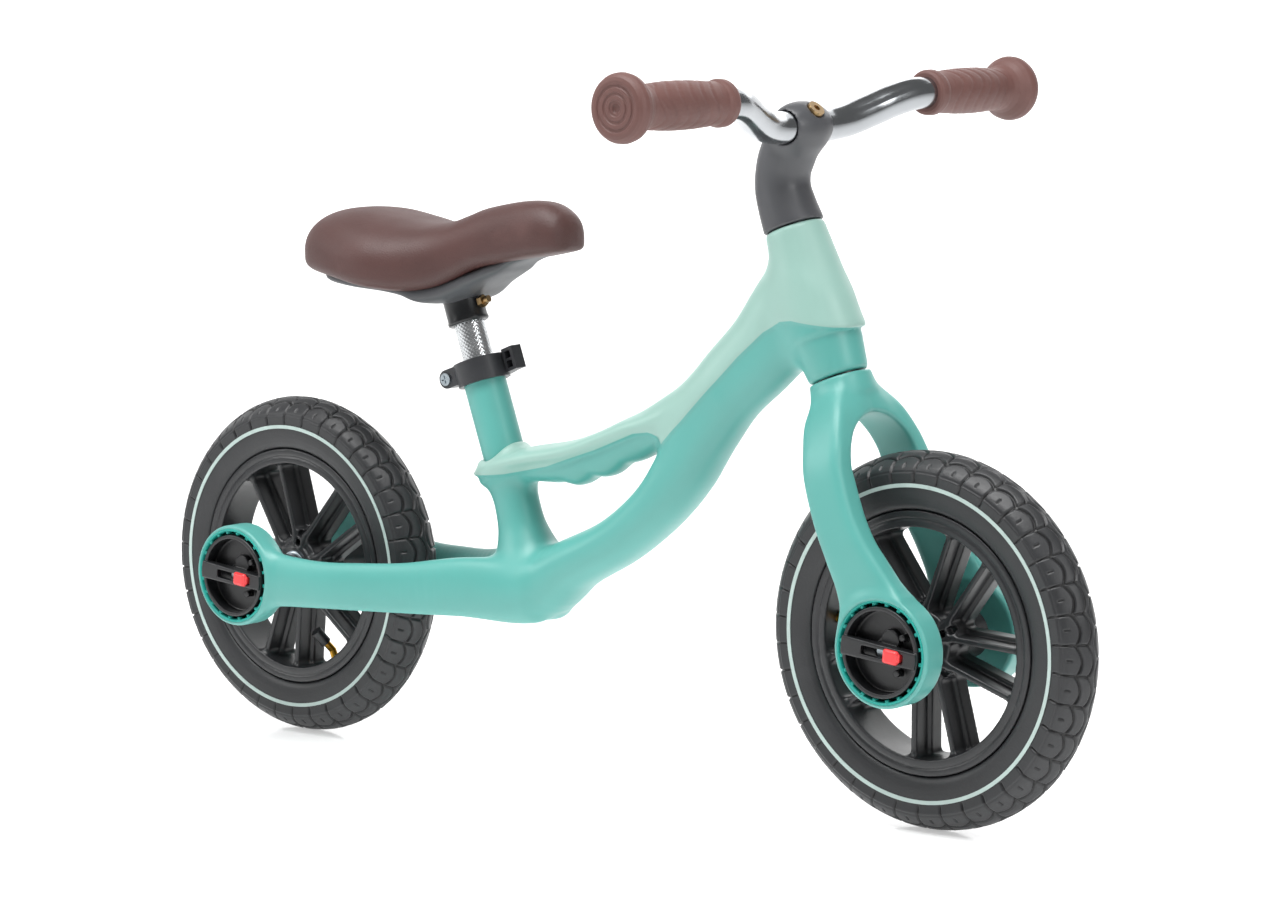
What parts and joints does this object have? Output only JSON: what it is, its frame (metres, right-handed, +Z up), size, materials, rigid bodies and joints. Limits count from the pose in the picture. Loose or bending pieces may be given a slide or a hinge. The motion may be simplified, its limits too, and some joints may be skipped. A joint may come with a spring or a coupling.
{
  "type": "balance bike",
  "caption": "Child's balance bike: moulded frame with grab bar, fork, spoked wheels with air tyres, height-adjustable saddle, swept chrome handlebar, quick-turn axle locks.",
  "frame": {"origin": "on the ground midway between the two axles, in the plane of symmetry", "axes": "+X forward along the direction of travel, +Y to the rider's left, +Z up"},
  "size_m": [0.834, 0.441, 0.5072],
  "materials": {
    "frame_shell": "satin teal moulding with a paler mint top face",
    "clamp_black": "black, lightly satin",
    "zinc": "bright zinc plate",
    "post_steel": "bright, knurled on the seat post",
    "saddle_shell": "dark grey fine grain",
    "saddle_skin": "soft brown leatherette, fine grain",
    "bronze": "dull bronze plating",
    "stem_black": "charcoal, satin",
    "bar_chrome": "polished chrome",
    "grip_rubber": "brown moulded rubber with shallow grooves",
    "lock_black": "black moulded plastic",
    "wheel_black": "black moulded plastic, satin",
    "tyre": "charcoal rubber with block tread",
    "side_band": "pale grey-green reflective band",
    "tube_rubber": "black butyl",
    "brass": "bright brass",
    "button_red": "red, slightly glossy"
  },
  "bodies": {
    "chassis": {"frame": "frame_shell", "seat_tube": "frame_shell", "seat_clamp": "clamp_black", "clamp_screw": "zinc", "clamp_pin": "zinc", "headset_upper": "zinc", "headset_lower": "zinc", "rear_axle": "zinc", "rear_spacers": "wheel_black"},
    "seat": {"seat_post": "post_steel", "saddle_base": "saddle_shell", "saddle_cover": "saddle_skin", "saddle_bolt": "bronze"},
    "lever": {"clamp_lever": "clamp_black"},
    "steering": {"fork": "frame_shell", "steerer_tube": "post_steel", "stem": "stem_black", "stem_bolt": "bronze", "handlebar": "bar_chrome", "grip_left": "grip_rubber", "grip_right": "grip_rubber", "bar_plug_left": "lock_black", "bar_plug_right": "lock_black", "front_axle": "zinc", "front_spacers": "wheel_black"},
    "front_wheel": {"front_tire": "tyre", "front_tire_bands": "side_band", "front_inner_tube": "tube_rubber", "front_rim": "wheel_black", "front_bearings": "zinc", "front_valve_stem": "brass", "front_valve_cap": "lock_black"},
    "rear_wheel": {"rear_tire": "tyre", "rear_tire_bands": "side_band", "rear_inner_tube": "tube_rubber", "rear_rim": "wheel_black", "rear_bearings": "zinc", "rear_valve_stem": "brass", "rear_valve_cap": "lock_black"},
    "front_lock_right": {"front_dish_right": "lock_black"},
    "front_key_right": {"front_button_right": "button_red"},
    "front_lock_left": {"front_dish_left": "lock_black"},
    "front_key_left": {"front_button_left": "button_red"},
    "rear_lock_right": {"rear_dish_right": "lock_black"},
    "rear_key_right": {"rear_button_right": "button_red"},
    "rear_lock_left": {"rear_dish_left": "lock_black"},
    "rear_key_left": {"rear_button_left": "button_red"}
  },
  "joints": [
    {"name": "steering_turn", "type": "hinge", "parent": "chassis", "child": "steering", "pos_m": [0.1758, 0, 0.3974], "axis": [-0.3535, 0, 0.9354], "range_deg": [-60, 60]},
    {"name": "front_wheel_spin", "type": "hinge", "parent": "steering", "child": "front_wheel", "pos_m": [0.29, 0, 0.127], "axis": [0, 1, 0], "continuous": true},
    {"name": "rear_wheel_spin", "type": "hinge", "parent": "chassis", "child": "rear_wheel", "pos_m": [-0.29, 0, 0.127], "axis": [0, 1, 0], "continuous": true},
    {"name": "seat_height", "type": "slide", "parent": "chassis", "child": "seat", "axis": [-0.3289, 0, 0.9444], "range_m": [-0.02, 0.06]},
    {"name": "clamp_lever_turn", "type": "hinge", "parent": "chassis", "child": "lever", "pos_m": [-0.13206, 0.017, 0.27711], "axis": [-0.3289, 0, 0.9444], "range_deg": [0, 140]},
    {"name": "front_lock_right_turn", "type": "hinge", "parent": "steering", "child": "front_lock_right", "pos_m": [0.29, 0, 0.127], "axis": [0, 1, 0], "range_deg": [0, 90]},
    {"name": "front_key_right_slide", "type": "slide", "parent": "front_lock_right", "child": "front_key_right", "axis": [-0.9945, 0, 0.1045], "range_m": [0, 0.016], "stiffness_N_per_m": 60},
    {"name": "front_lock_left_turn", "type": "hinge", "parent": "steering", "child": "front_lock_left", "pos_m": [0.29, 0, 0.127], "axis": [0, 1, 0], "range_deg": [-90, 0]},
    {"name": "front_key_left_slide", "type": "slide", "parent": "front_lock_left", "child": "front_key_left", "axis": [-0.9945, 0, 0.1045], "range_m": [0, 0.016], "stiffness_N_per_m": 60},
    {"name": "rear_lock_right_turn", "type": "hinge", "parent": "chassis", "child": "rear_lock_right", "pos_m": [-0.29, 0, 0.127], "axis": [0, 1, 0], "range_deg": [0, 90]},
    {"name": "rear_key_right_slide", "type": "slide", "parent": "rear_lock_right", "child": "rear_key_right", "axis": [-0.9945, 0, 0.1045], "range_m": [0, 0.016], "stiffness_N_per_m": 60},
    {"name": "rear_lock_left_turn", "type": "hinge", "parent": "chassis", "child": "rear_lock_left", "pos_m": [-0.29, 0, 0.127], "axis": [0, 1, 0], "range_deg": [-90, 0]},
    {"name": "rear_key_left_slide", "type": "slide", "parent": "rear_lock_left", "child": "rear_key_left", "axis": [-0.9945, 0, 0.1045], "range_m": [0, 0.016], "stiffness_N_per_m": 60}
  ]
}
